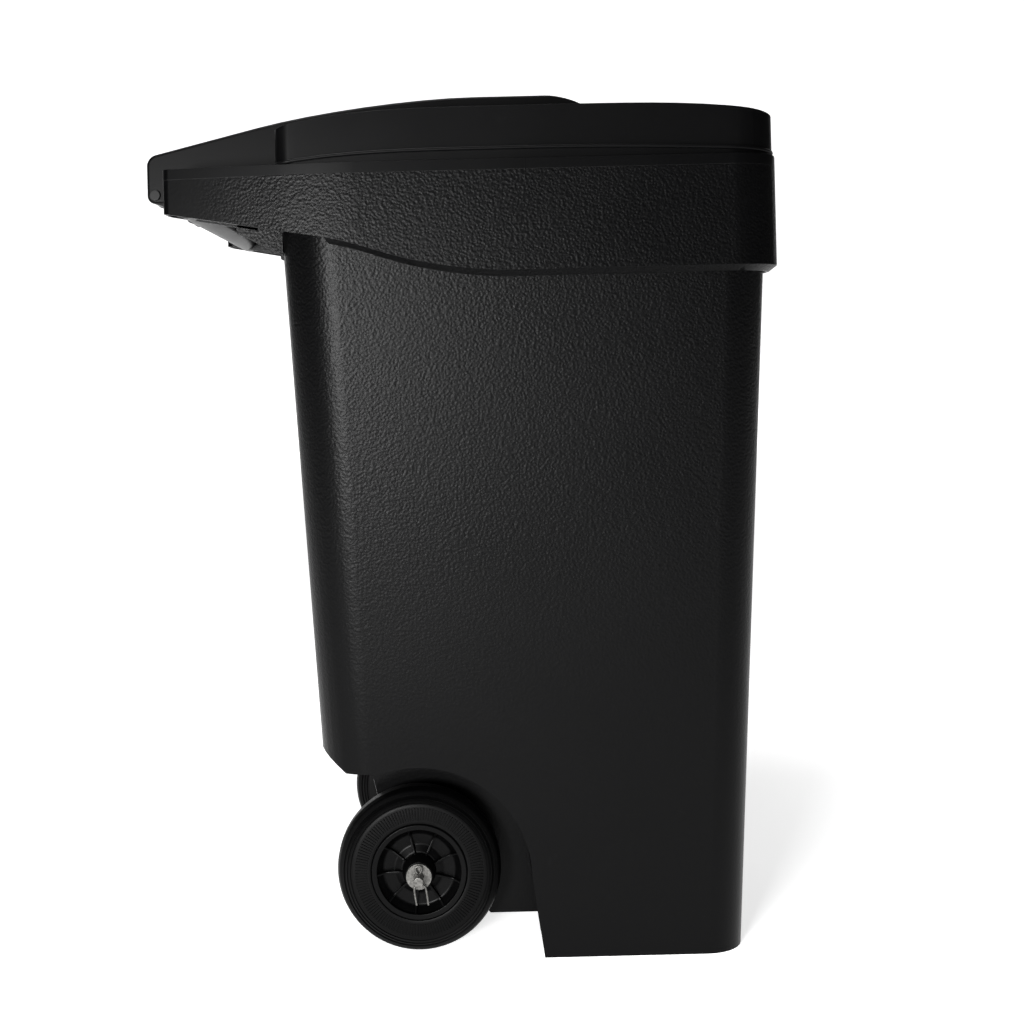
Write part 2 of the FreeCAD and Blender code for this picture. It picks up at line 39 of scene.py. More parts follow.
# Camera: square on to the bin's right side, above the middle of its height, with a slight roll.
camera = bpy.data.objects.new("camera", bpy.data.cameras.new("camera"))
bpy.context.scene.collection.objects.link(camera)
camera.location = (-0.0085, -1.940, 0.7216)
camera.rotation_euler = (math.radians(90), math.radians(1.4), 0)
camera.data.lens = 50.55
camera.data.shift_x = 0.0594
camera.data.shift_y = -0.150
bpy.context.scene.view_settings.view_transform = "Standard"
bpy.context.scene.camera = camera

# Studio: a pale sweep of paper under and behind the bin, two soft lights and a dim room.
bpy.ops.object.select_all(action="DESELECT")
bpy.ops.mesh.primitive_plane_add(size=14, location=(0, 2, 0))
sweep = bpy.context.object
sweep.name = "studio_sweep"
bpy.ops.object.mode_set(mode="EDIT")
bpy.ops.mesh.select_all(action="DESELECT")
bpy.ops.object.mode_set(mode="OBJECT")
for vertex in sweep.data.vertices:
    vertex.select = vertex.co.y > 0
bpy.ops.object.mode_set(mode="EDIT")
bpy.ops.mesh.select_mode(type="EDGE")
bpy.ops.mesh.extrude_region_move(TRANSFORM_OT_translate={"value": (0, 0, 7)})
bpy.ops.object.mode_set(mode="OBJECT")
paper = bpy.data.materials.new("studio_paper")
paper.use_nodes = True
for socket, setting in (("Base Color", (0.9, 0.9, 0.9, 1)), ("Roughness", 0.9), ("Specular IOR Level", 0.1),
                        ("Emission Color", (1, 1, 1, 1)), ("Emission Strength", 0.72)):
    paper.node_tree.nodes["Principled BSDF"].inputs[socket].default_value = setting
sweep.data.materials.append(paper)


def soft_light(name, place, target, power, width):
    """A square area light that points at a target."""
    lamp = bpy.data.objects.new(name, bpy.data.lights.new(name, "AREA"))
    bpy.context.scene.collection.objects.link(lamp)
    lamp.location = place
    lamp.rotation_euler = (Vector(target) - Vector(place)).to_track_quat("-Z", "Y").to_euler()
    lamp.data.energy = power
    lamp.data.size = width


soft_light("key", (-0.82, -2.6, 0.6), (-0.2, -0.3, 0.62), 112, 0.5)
soft_light("top", (-0.5, -0.9, 3.4), (0, 0, 0.8), 90, 1.2)
world = bpy.data.worlds.new("room")
bpy.context.scene.world = world
world.use_nodes = True
world.node_tree.nodes["Background"].inputs["Color"].default_value = (1, 1, 1, 1)
world.node_tree.nodes["Background"].inputs["Strength"].default_value = 0.05

# Body moulding: one piece of black HDPE, injection moulded. It is the tapering tub with its foot
# and wheel arches, the skirt and side arms, the handle bar, the hinge lugs and the axle brackets.
# Its side panels carry a fine leather grain, and the top band, the arms and the foot are smoother.


def node_group(name, inputs, outputs):
    """An empty shader node group with its sockets made, and its input and output nodes."""
    group = bpy.data.node_groups.new(name, "ShaderNodeTree")
    for label, value in inputs:
        group.interface.new_socket(label, in_out="INPUT", socket_type="NodeSocketFloat").default_value = value
    for label, kind in outputs:
        group.interface.new_socket(label, in_out="OUTPUT", socket_type=kind)
    return group, group.nodes.new("NodeGroupInput"), group.nodes.new("NodeGroupOutput")


def moulded_surface():
    """The height of the grain, flecks of wear, and blotches that drift slowly over the surface."""
    group, given, made = node_group(
        "moulded_surface", [("Grain Size", 700.0), ("Grain Depth", 1.0)],
        [("Height", "NodeSocketFloat"), ("Wear", "NodeSocketFloat"), ("Blotch", "NodeSocketFloat")])
    nodes, links = group.nodes, group.links
    place = nodes.new("ShaderNodeTexCoord")
    cells = nodes.new("ShaderNodeTexVoronoi")
    cells.feature = "SMOOTH_F1"
    fine, slow, scratch = (nodes.new("ShaderNodeTexNoise") for _ in range(3))
    fine.inputs["Scale"].default_value = 1600
    slow.inputs["Scale"].default_value = 5
    slow.inputs["Detail"].default_value = 5
    scratch.inputs["Scale"].default_value = 60
    scratch.inputs["Detail"].default_value = 8
    for texture in (cells, fine, slow, scratch):
        links.new(place.outputs["Object"], texture.inputs["Vector"])
    links.new(given.outputs["Grain Size"], cells.inputs["Scale"])
    mix = nodes.new("ShaderNodeMath")
    mix.operation = "MULTIPLY_ADD"
    links.new(fine.outputs["Fac"], mix.inputs[0])
    mix.inputs[1].default_value = 0.35
    links.new(cells.outputs["Distance"], mix.inputs[2])
    deep = nodes.new("ShaderNodeMath")
    deep.operation = "MULTIPLY"
    links.new(mix.outputs[0], deep.inputs[0])
    links.new(given.outputs["Grain Depth"], deep.inputs[1])
    links.new(deep.outputs[0], made.inputs["Height"])
    worn = nodes.new("ShaderNodeMapRange")
    worn.inputs["From Min"].default_value = 0.68
    worn.inputs["From Max"].default_value = 0.8
    links.new(scratch.outputs["Fac"], worn.inputs["Value"])
    links.new(worn.outputs["Result"], made.inputs["Wear"])
    links.new(slow.outputs["Fac"], made.inputs["Blotch"])
    return group


SURFACE = moulded_surface()
BAND_EDGE, SEAM_X, SEAM_HALF = 0.937, 0.0815, 0.0006


def body_zones():
    """Fades the grain out at the top band, along the arms and down to the foot, and adds a mould seam."""
    group, given, made = node_group("body_zones", [("Height", 0.0)], [("Height", "NodeSocketFloat")])
    nodes, links = group.nodes, group.links
    place = nodes.new("ShaderNodeTexCoord")
    axes = nodes.new("ShaderNodeSeparateXYZ")
    links.new(place.outputs["Object"], axes.inputs[0])

    def ramp(axis, start, end, low=0.0, high=1.0):
        slope = nodes.new("ShaderNodeMapRange")
        for key, number in (("From Min", start), ("From Max", end), ("To Min", low), ("To Max", high)):
            slope.inputs[key].default_value = number
        links.new(axes.outputs[axis], slope.inputs["Value"])
        return slope.outputs["Result"]

    def calculate(kind, first, second, third=None):
        node = nodes.new("ShaderNodeMath")
        node.operation = kind
        for socket, entry in zip(node.inputs, (first, second, third)):
            if isinstance(entry, (int, float)):
                socket.default_value = entry
            elif entry is not None:
                links.new(entry, socket)
        return node.outputs[0]

    grained = calculate("MULTIPLY", ramp("Z", BAND_EDGE + 0.0005, BAND_EDGE), ramp("X", -0.30, -0.22, 0.1))
    grained = calculate("MULTIPLY", grained, ramp("Z", 0.2, 0.52, 0.25))
    seam = calculate("COMPARE", axes.outputs["X"], SEAM_X, SEAM_HALF)
    seam = calculate("MULTIPLY", seam, ramp("Z", 0.34, 0.42))
    height = calculate("MULTIPLY", given.outputs["Height"], grained)
    height = calculate("MULTIPLY_ADD", seam, 0.5, height)
    height = calculate("MULTIPLY_ADD", ramp("Z", BAND_EDGE, BAND_EDGE + 0.0008), 0.9, height)
    links.new(height, made.inputs["Height"])
    return group


FLECK_GAIN = 1.9


def plastic(name, dark, light, rough_low, rough_high, grain, depth, bump, sheen, zones=None):
    """A moulded plastic or rubber: its colour and gloss drift slowly, and worn flecks are paler."""
    material = bpy.data.materials.new(name)
    material.use_nodes = True
    nodes, links = material.node_tree.nodes, material.node_tree.links
    shader = nodes["Principled BSDF"]
    shader.inputs["Specular IOR Level"].default_value = sheen
    surface = nodes.new("ShaderNodeGroup")
    surface.node_tree = SURFACE
    surface.inputs["Grain Size"].default_value = grain
    surface.inputs["Grain Depth"].default_value = depth
    tone = nodes.new("ShaderNodeMix")
    tone.data_type = "RGBA"
    tone.inputs["A"].default_value = (*dark, 1)
    tone.inputs["B"].default_value = (*light, 1)
    links.new(surface.outputs["Blotch"], tone.inputs["Factor"])
    fleck = nodes.new("ShaderNodeMix")
    fleck.data_type = "RGBA"
    fleck.inputs["B"].default_value = (*(part * FLECK_GAIN for part in light), 1)
    links.new(surface.outputs["Wear"], fleck.inputs["Factor"])
    links.new(tone.outputs["Result"], fleck.inputs["A"])
    links.new(fleck.outputs["Result"], shader.inputs["Base Color"])
    gloss = nodes.new("ShaderNodeMapRange")
    gloss.inputs["From Min"].default_value = 0.3
    gloss.inputs["From Max"].default_value = 0.7
    gloss.inputs["To Min"].default_value = rough_low
    gloss.inputs["To Max"].default_value = rough_high
    links.new(surface.outputs["Blotch"], gloss.inputs["Value"])
    links.new(gloss.outputs["Result"], shader.inputs["Roughness"])
    relief = nodes.new("ShaderNodeBump")
    relief.inputs["Strength"].default_value = bump
    relief.inputs["Distance"].default_value = 0.0004
    height = surface.outputs["Height"]
    if zones:
        zoned = nodes.new("ShaderNodeGroup")
        zoned.node_tree = zones
        links.new(height, zoned.inputs["Height"])
        height = zoned.outputs["Height"]
    links.new(height, relief.inputs["Height"])
    links.new(relief.outputs["Normal"], shader.inputs["Normal"])
    return material


GRAINED = plastic("grained_hdpe", (0.0007, 0.0007, 0.0008), (0.0013, 0.0013, 0.0014), 0.3, 0.35,
                  grain=330, depth=1.0, bump=1.0, sheen=0.07, zones=body_zones())


NEAR = 2e-5


def select_where(piece, test, kind="VERT"):
    """Leaves the piece in edit mode with the vertices, edges or faces selected that pass a test."""
    bpy.ops.object.select_all(action="DESELECT")
    bpy.context.view_layer.objects.active = piece
    piece.select_set(True)
    bpy.ops.object.mode_set(mode="EDIT")
    bpy.ops.mesh.select_mode(type=kind)
    bpy.ops.mesh.select_all(action="DESELECT")
    bpy.ops.object.mode_set(mode="OBJECT")
    parts = {"VERT": piece.data.vertices, "EDGE": piece.data.edges, "FACE": piece.data.polygons}[kind]
    for part in parts:
        part.select = test(part)
    bpy.ops.object.mode_set(mode="EDIT")


def select_whole(piece):
    """Leaves the piece in edit mode with all of it selected."""
    select_where(piece, lambda part: True)
    bpy.ops.mesh.select_all(action="SELECT")


def outward(piece):
    """Turns every face of a closed piece outwards."""
    select_whole(piece)
    bpy.ops.mesh.normals_make_consistent(inside=False)
    bpy.ops.object.mode_set(mode="OBJECT")


def outlined(name, spots, fillets, segments):
    """A flat face from a chain of corners, each rounded to its own radius in millimetres."""
    bpy.ops.object.select_all(action="DESELECT")
    bpy.ops.mesh.primitive_plane_add(size=0.01)
    piece = bpy.context.object
    piece.name = name
    bpy.ops.object.mode_set(mode="EDIT")
    bpy.ops.mesh.select_mode(type="VERT")
    bpy.ops.mesh.merge(type="CENTER")
    bpy.ops.transform.translate(value=spots[0])
    for here, after in zip(spots, spots[1:]):
        bpy.ops.mesh.extrude_vertices_move(TRANSFORM_OT_translate={"value": after - here})
    bpy.ops.mesh.select_all(action="SELECT")
    bpy.ops.mesh.edge_face_add()
    bpy.ops.object.mode_set(mode="OBJECT")
    for i, radius in enumerate(fillets):
        if radius:
            corner = spots[i]
            back, ahead = spots[i - 1] - corner, spots[(i + 1) % len(spots)] - corner
            select_where(piece, lambda vertex: (vertex.co - corner).length < NEAR)
            bpy.ops.mesh.bevel(offset=radius * MM / math.tan(back.angle(ahead) / 2), segments=segments,
                               affect="VERTICES")
            bpy.ops.object.mode_set(mode="OBJECT")
    return piece


def extruded(name, plane, corners, start, length):
    """A prism from corners (across, up, fillet radius) in millimetres, from start along its axis."""
    def spot(across, up):
        places = {"XZ": (across, start, up), "XY": (across, up, start), "YZ": (start, across, up)}
        return Vector(places[plane]) * MM

    push = Vector({"XZ": (0, length, 0), "XY": (0, 0, length), "YZ": (length, 0, 0)}[plane]) * MM
    spots = [spot(across, up) for across, up, _ in corners]
    piece = outlined(name, spots, [radius for _, _, radius in corners], 8)
    select_whole(piece)
    bpy.ops.mesh.extrude_region_move(TRANSFORM_OT_translate={"value": push})
    bpy.ops.object.mode_set(mode="OBJECT")
    outward(piece)
    return piece


def rod(name, radius, x, z, start, length, sides=64):
    """A cylinder along Y, in millimetres."""
    bpy.ops.object.select_all(action="DESELECT")
    bpy.ops.mesh.primitive_cylinder_add(vertices=sides, radius=radius * MM, depth=length * MM,
                                        location=(x * MM, (start + length / 2) * MM, z * MM),
                                        rotation=(math.pi / 2, 0, 0))
    piece = bpy.context.object
    piece.name = name
    bpy.ops.object.transform_apply(location=True, rotation=True, scale=True)
    return piece


def modify(piece, kind, **settings):
    """Adds a modifier with its settings and applies it."""
    modifier = piece.modifiers.new(kind.lower(), kind)
    for key, setting in settings.items():
        setattr(modifier, key, setting)
    bpy.ops.object.select_all(action="DESELECT")
    bpy.context.view_layer.objects.active = piece
    piece.select_set(True)
    bpy.ops.object.modifier_apply(modifier=modifier.name)
    return piece


def combine(piece, operation, *others):
    """Cuts other pieces out of a piece or fuses them to it, and uses them up."""
    for other in others:
        modify(piece, "BOOLEAN", object=other, operation=operation, solver="EXACT")
        bpy.data.objects.remove(other)
    return piece


def copied(piece, name):
    """A copy with its own mesh."""
    twin = piece.copy()
    twin.data = piece.data.copy()
    twin.name = name
    bpy.context.scene.collection.objects.link(twin)
    return twin


def mirrored(piece, name):
    """The same piece on the other side of the bin, with its own mesh."""
    twin = copied(piece, name)
    bpy.ops.object.select_all(action="DESELECT")
    bpy.context.view_layer.objects.active = twin
    twin.select_set(True)
    twin.scale = (1, -1, 1)
    bpy.ops.object.transform_apply(location=False, rotation=False, scale=True)
    outward(twin)
    return twin


def joined(name, *pieces):
    """Several meshes as one object, which is the first of them."""
    bpy.ops.object.select_all(action="DESELECT")
    for piece in pieces:
        piece.select_set(True)
    bpy.context.view_layer.objects.active = pieces[0]
    bpy.ops.object.join()
    pieces[0].name = name
    return pieces[0]


def softened(piece, width, segments, angle):
    """Rounds the edges sharper than an angle in degrees, by a width in millimetres."""
    return modify(piece, "BEVEL", width=width * MM, segments=segments, limit_method="ANGLE",
                  angle_limit=math.radians(angle), use_clamp_overlap=True)


def dressed(piece, material, body, node):
    """Gives a finished piece its material, its smooth shading and its place in the frame."""
    piece.data.materials.clear()
    piece.data.materials.append(material)
    bpy.ops.object.select_all(action="DESELECT")
    bpy.context.view_layer.objects.active = piece
    piece.select_set(True)
    bpy.ops.object.shade_smooth_by_angle(angle=math.radians(32))
    modify(piece, "WEIGHTED_NORMAL", keep_sharp=True, weight=60)
    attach(piece, body)
    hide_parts(node)


def rounded_plan(front, rear, side, front_radius, rear_radius):
    """A rectangle seen from above, with its front and rear corners rounded."""
    return [(rear, -side, rear_radius), (front, -side, front_radius),
            (front, side, front_radius), (rear, side, rear_radius)]


RIM, TUB_WALL, SKIRT_WALL = 950, 5, 4
MOUTH_FRONT, MOUTH_REAR, MOUTH_SIDE = 372, -212, 282
DRAFT_FRONT, DRAFT_REAR, DRAFT_SIDE = 43, 47, 67
MOUTH_FRONT_RADIUS, MOUTH_REAR_RADIUS = 55, 70


def drafted_tub(name, inset, top, bottom):
    """The tub's tapering block between two heights; inset is how far inside the outer wall it is."""
    def section(height):
        share = 1 - height / RIM
        return (MOUTH_FRONT - DRAFT_FRONT * share - inset, MOUTH_REAR + DRAFT_REAR * share + inset,
                MOUTH_SIDE - DRAFT_SIDE * share - inset)

    front, rear, side = section(top)
    plan = rounded_plan(front, rear, side, MOUTH_FRONT_RADIUS - inset, MOUTH_REAR_RADIUS - inset)
    block = extruded(name, "XY", plan, top, bottom - top)
    low_front, low_rear, low_side = section(bottom)
    select_where(block, lambda vertex: abs(vertex.co.z - bottom * MM) < 1e-6)
    middle = ((front + rear) / 2 * MM, 0, bottom * MM)
    bpy.ops.transform.resize(value=((low_front - low_rear) / (front - rear), low_side / side, 1),
                             center_override=middle)
    bpy.ops.transform.translate(value=((low_front + low_rear - front - rear) / 2 * MM, 0, 0))
    bpy.ops.object.mode_set(mode="OBJECT")
    outward(block)
    return block


WHEEL_X, WHEEL_Z = -62.5, 100
STEP_Z, CHAMFER_X, ARCH_RADIUS = 229, -146, 136
BEHIND, AHEAD, BELOW = -304, 456, -10


def rear_step(grow):
    """The outline of the space behind the wheel, up to the step and its slanted corner."""
    return [(BEHIND, BELOW, 0), (BEHIND, STEP_Z + grow + 121, 0), (CHAMFER_X, STEP_Z + grow, 0)]


def under_arch(name, grow, start, length):
    """The space that a wheel runs in, grown by a wall's thickness."""
    low = extruded(name, "XZ", rear_step(grow) + [
        (WHEEL_X, STEP_Z + grow, 0), (WHEEL_X, WHEEL_Z, 0), (WHEEL_X + ARCH_RADIUS + grow, WHEEL_Z, 0),
        (88 + grow, BELOW, 0)], start, length)
    bow = rod(name + "_bow", ARCH_RADIUS + grow, WHEEL_X, WHEEL_Z, start, length, 96)
    return combine(low, "UNION", bow)


def under_middle(name, grow, foot):
    """The space under the sloping floor between the wheels, grown by a wall's thickness."""
    return extruded(name, "XZ", rear_step(grow) + [
        (24 + grow, 25 + grow, 0), (83 + grow, 25 + grow, 0), (86.5 + grow, foot, 0),
        (AHEAD, foot, 0), (AHEAD, BELOW, 0)], -290, 580)


tub = drafted_tub("tub", 0, RIM - 1, 0)
arch_left = under_arch("arch_left", 0, 135, 300)
combine(tub, "DIFFERENCE", mirrored(arch_left, "arch_right"), arch_left,
        under_middle("middle", 0, -1))
outer_form = copied(tub, "outer_form")
hollow = drafted_tub("hollow", TUB_WALL, RIM + 1, 0)
keep_left = under_arch("keep_left", TUB_WALL, 135 - TUB_WALL, 300)
combine(hollow, "DIFFERENCE", mirrored(keep_left, "keep_right"), keep_left,
        under_middle("keep_middle", TUB_WALL, TUB_WALL))
combine(tub, "DIFFERENCE", hollow)


SHARP = math.radians(32)


def outer_edge(piece, form):
    """A test for the sharp edges of a hollow piece that lie on its outer form, below the rim."""
    sides = {}
    for polygon in piece.data.polygons:
        for key in polygon.edge_keys:
            sides.setdefault(key, []).append(polygon.normal.copy())
    corners = piece.data.vertices

    def test(edge):
        first, last = (corners[index].co for index in edge.vertices)
        normals = sides.get(tuple(sorted(edge.vertices)), [])
        if len(normals) != 2 or max(first.z, last.z) > 0.94:
            return False
        if normals[0].angle(normals[1], 0) < SHARP:
            return False
        middle = (first + last) / 2
        return (form.closest_point_on_mesh(middle)[1] - middle).length < 0.3 * MM
    return test


EDGE_ROUND = 8
select_where(tub, outer_edge(tub, outer_form), "EDGE")
bpy.ops.mesh.bevel(offset=EDGE_ROUND * MM, segments=4, affect="EDGES", clamp_overlap=True)
bpy.ops.object.mode_set(mode="OBJECT")
bpy.data.objects.remove(outer_form)


SKIRT_BOTTOM, BELOW_SKIRT = 815, 700


def rim_plan(inset):
    """The skirt's outline seen from above, which narrows to an arm each side of the handle bar."""
    half = [(380 - inset, 290 - inset, 59 - inset), (-160, 290 - inset, 600),
            (-341 + inset, 262 - inset, 9 - inset / 2), (-341 + inset, 222 + inset, 9 - inset / 2),
            (-226 + inset, 222 + inset, 9 + inset)]
    return half + [(x, -y, radius) for x, y, radius in reversed(half)]


skirt = extruded("skirt", "XY", rim_plan(0), SKIRT_BOTTOM, RIM - SKIRT_BOTTOM)
combine(skirt, "DIFFERENCE",
        extruded("skirt_inside", "XY", rim_plan(SKIRT_WALL), SKIRT_BOTTOM - 5, RIM - SKIRT_BOTTOM),
        drafted_tub("mouth", SKIRT_WALL, RIM + 2, BELOW_SKIRT),
        extruded("skirt_wave", "XZ", [
            (-AHEAD, 919, 0), (-133, 861, 300), (-10, 822, 450), (AHEAD, 822, 0), (AHEAD, BELOW_SKIRT, 0),
            (-AHEAD, BELOW_SKIRT, 0)], -400, 800))
HEM_DROP, HEM_TUCK = 7, 0.974
select_where(skirt, lambda face: face.normal.z < -0.6 and face.center.z < 0.905 and face.center.x > -0.22,
             "FACE")
bpy.ops.mesh.extrude_region_move(TRANSFORM_OT_translate={"value": (0, 0, -HEM_DROP * MM)})
bpy.ops.transform.resize(value=(HEM_TUCK, HEM_TUCK, 1), center_override=(0.06, 0, 0.83))
bpy.ops.object.mode_set(mode="OBJECT")
softened(skirt, 2.2, 3, 40)

HANDLE_X, HINGE_X, HINGE_Z, PIN_RADIUS = -312, -370, 932, 4
LUG_START, LUG_LENGTH = 108, 44
handle = rod("handle", 17, HANDLE_X, 909.5, -260, 520)
lug = extruded("lug", "XZ", [
    (HINGE_X, 941.5, 0), (HANDLE_X, 928, 0), (HANDLE_X, 896, 0), (HINGE_X, 922.5, 0)], LUG_START, LUG_LENGTH)
combine(lug, "UNION", rod("lug_eye", 9.5, HINGE_X, HINGE_Z, LUG_START, LUG_LENGTH, 48))
softened(lug, 1.5, 2, 40)
gusset = extruded("gusset", "XZ", [(-261, 877, 0), (-205, 848, 0), (-205, 949, 0), (-261, 949, 0)], 222, 4)
outer_web = extruded("outer_web", "XZ", [
    (-120, 200, 0), (12, 41.4, 0), (-34.5, 76, 12), (-90.5, 76, 12)], 127, 8)
outer_boss = rod("outer_boss", 20, WHEEL_X, WHEEL_Z, 123, 12.9, 48)
inner_web = copied(outer_web, "inner_web")
inner_boss = copied(outer_boss, "inner_boss")
for piece in (inner_web, inner_boss):
    piece.data.transform(Matrix.Translation((0, -81 * MM, 0)))
for piece in (outer_web, outer_boss, inner_web, inner_boss, gusset):
    softened(piece, 1.2, 2, 40)
side_pieces = [lug, gusset, outer_web, outer_boss, inner_web, inner_boss]
body = joined("body_moulding", tub, skirt, handle, *side_pieces,
              *[mirrored(piece, piece.name + "_right") for piece in side_pieces])
dressed(body, GRAINED, "bin", "bin_body")

# Lid: one moulding, a crowned shell with a beaded flange and an inner lip, and two hollow arms
# that reach back over the handle to the hinge pins and run on forward as ribs.
SMOOTH = plastic("smooth_hdpe", (0.0008, 0.0008, 0.0009), (0.0015, 0.0015, 0.0016), 0.34, 0.42,
                 grain=900, depth=0.35, bump=0.3, sheen=0.06)
LID_REAR, LID_FRONT, LID_SIDE = -208, 377, 278
LID_MIDDLE = (LID_REAR + LID_FRONT) / 2
LID_HALF = (LID_FRONT - LID_REAR) / 2


def along_lid(x):
    """-1 at the lid's rear wall, 1 at its front."""
    return max(-1.0, min(1.0, (x / MM - LID_MIDDLE) / LID_HALF))


def crown(x, y):
    """Height of the lid's top: its side edges fall towards both ends and the middle swells."""
    u, v = along_lid(x), min(1.0, abs(y) / (LID_SIDE * MM))
    edge = 1012.8 - (20 if u < 0 else 15) * u ** 4
    return (edge + 19 * (1 - v * v) * (1 - u ** 4)) * MM


def dip(u):
    """How far the lid's lower edge is below its highest place, as the warm lid has taken a bow."""
    return 13 * u ** 4 if u < 0 else 9 * u * u


LENGTHWAYS = [((LID_MIDDLE + LID_HALF * k / 10) * MM, (1, 0, 0)) for k in range(-9, 10)]


def sliced(piece, cuts):
    """Adds edges where planes (distance, normal) cross a piece, so that it can take a curve."""
    for distance, normal in cuts:
        select_whole(piece)
        bpy.ops.mesh.bisect(plane_co=Vector(normal) * distance, plane_no=normal)
        bpy.ops.object.mode_set(mode="OBJECT")


def crowned_block(name, inset, low):
    """The lid's rounded plan raised to the crowned top."""
    plan = rounded_plan(LID_FRONT - inset, LID_REAR + inset, LID_SIDE - inset, 47 - inset, 18 - inset)
    block = extruded(name, "XY", plan, low, 1000 - low)
    sliced(block, LENGTHWAYS + [(LID_SIDE * k / 8 * MM, (0, 1, 0)) for k in range(-7, 8)])
    for vertex in block.data.vertices:
        if vertex.co.z > 0.999:
            vertex.co.z = crown(vertex.co.x, vertex.co.y) - inset * MM
    return block


shell = softened(crowned_block("shell", 0, 925), 11, 5, 50)
bow_line = [(LID_MIDDLE + LID_HALF * k / 12, max(962 - dip(k / 12), 951), 0) for k in range(-12, 13)]
combine(shell, "DIFFERENCE", crowned_block("shell_hollow", 4, 915),
        extruded("under_lid", "XZ", [(-300, 951, 0)] + bow_line + [
            (420, 953, 0), (420, 900, 0), (-300, 900, 0)], -300, 600))


def bowed(piece):
    """Lets a flat ring follow the bow of the lid's lower edge, clear of the rim."""
    for vertex in piece.data.vertices:
        if vertex.co.z > 0.955:
            vertex.co.z = max(vertex.co.z - dip(along_lid(vertex.co.x)) * MM, 0.9505)
    return piece


def plan_ring(name, outer, inner, low, height):
    """A thin ring on the lid's plan, between two insets from the flange's edge."""
    def plan(inset):
        return rounded_plan(378 - inset, -210 + inset, 288 - inset, 55 - inset, 20 - inset / 2)

    ring = extruded(name, "XY", plan(outer), low, height)
    combine(ring, "DIFFERENCE", extruded(name + "_inside", "XY", plan(inner), low - 5, height + 10))
    sliced(ring, LENGTHWAYS)
    return ring


flange = bowed(softened(plan_ring("flange", 0.6, 12, 961.6, 2.2), 0.6, 2, 50))
bead = bowed(softened(plan_ring("bead", 0, 4.2, 960.8, 4.4), 2, 4, 50))
lip = bowed(plan_ring("lip", 9, 12, 950.4, 12))

ARM_START, ARM_LENGTH, CHEEK = 100, 60, 4
arm = softened(extruded("arm", "XZ", [
    (-380, 922, 9.9), (-380, 980, 14), (-110, 1045, 1140), (141, 1045, 90), (176, 1024, 0), (176, 990, 0),
    (-206, 958, 0), (-232, 954, 4), (-246, 936, 4), (-352, 936, 6), (-356, 922, 7)],
    ARM_START, ARM_LENGTH), 4, 3, 40)
hollow_start, hollow_length = ARM_START + CHEEK, ARM_LENGTH - 2 * CHEEK
combine(arm, "DIFFERENCE",
        extruded("arm_hollow", "XZ", [(-400, 892, 0), (-400, 971, 0), (-212, 1015, 0), (-212, 892, 0)],
                 hollow_start, hollow_length),
        extruded("rib_hollow", "XZ", [
            (-204, 900, 0), (-204, 1014, 0), (-110, 1032, 300), (40, 1040, 0), (139, 1040, 0), (167, 1022, 0),
            (167, 900, 0)], hollow_start, hollow_length),
        crowned_block("lid_space", 2, 930),
        rod("arm_bore", PIN_RADIUS + 0.05, HINGE_X, HINGE_Z, ARM_START - 10, ARM_LENGTH + 20, 32))
lid = joined("lid_moulding", shell, flange, bead, lip, mirrored(arm, "arm_right"), arm)
dressed(lid, SMOOTH, "lid", "lid")

# Hinge pins: moulded plastic, each pushed through both cheeks of a lid arm and the body's lug
# between them, with a low domed head outside the arm's outer cheek.
pin = rod("hinge_pin_left_look", PIN_RADIUS, HINGE_X, HINGE_Z, ARM_START - 1, ARM_LENGTH + 1.5, 32)
head = softened(rod("pin_head", 7, HINGE_X, HINGE_Z, ARM_START + ARM_LENGTH + 0.3, 3, 32), 1.2, 3, 40)
joined("hinge_pin_left_look", pin, head)
pin_right = mirrored(pin, "hinge_pin_right_look")
PIN_PLASTIC = plastic("pin_plastic", (0.002, 0.002, 0.0021), (0.0035, 0.0035, 0.0036), 0.38, 0.5,
                      grain=1100, depth=0.3, bump=0.2, sheen=0.12)
dressed(pin, PIN_PLASTIC, "bin", "hinge_pin_left")
dressed(pin_right, PIN_PLASTIC, "bin", "hinge_pin_right")

# Tyres: solid black rubber, pressed on the rims. The wall has a knurled band of short radial
# ribs beside the rim, and fine moulded rings on the shoulder.
WHEEL_Y, TYRE_HALF, HUB_HALF = 175, 24, 36


def spun(name, profile, steps):
    """A ring on the axle from a closed profile of corners (radius, along, fillet)."""
    spots = [Vector((WHEEL_X * MM, along * MM, (WHEEL_Z + radius) * MM)) for radius, along, _ in profile]
    ring = outlined(name, spots, [fillet for _, _, fillet in profile], 4)
    select_where(ring, lambda face: True, "FACE")
    bpy.ops.mesh.delete(type="ONLY_FACE")
    bpy.ops.mesh.select_all(action="SELECT")
    bpy.ops.mesh.spin(steps=steps, angle=math.tau, center=(WHEEL_X * MM, WHEEL_Y * MM, WHEEL_Z * MM),
                      axis=(0, 1, 0))
    bpy.ops.mesh.select_all(action="SELECT")
    bpy.ops.mesh.remove_doubles(threshold=1e-6)
    bpy.ops.object.mode_set(mode="OBJECT")
    outward(ring)
    return ring


def turned(piece, angle):
    """Turns a piece's mesh round the axle."""
    pivot = Vector((WHEEL_X, 0, WHEEL_Z)) * MM
    piece.data.transform(
        Matrix.Translation(pivot) @ Matrix.Rotation(angle, 4, "Y") @ Matrix.Translation(-pivot))


def around_axle(piece, count):
    """Copies of a small piece turned round the axle, joined into one mesh."""
    twins = [piece]
    for number in range(1, count):
        twin = copied(piece, "%s_%d" % (piece.name, number))
        turned(twin, math.tau * number / count)
        twins.append(twin)
    return joined(piece.name, *twins)


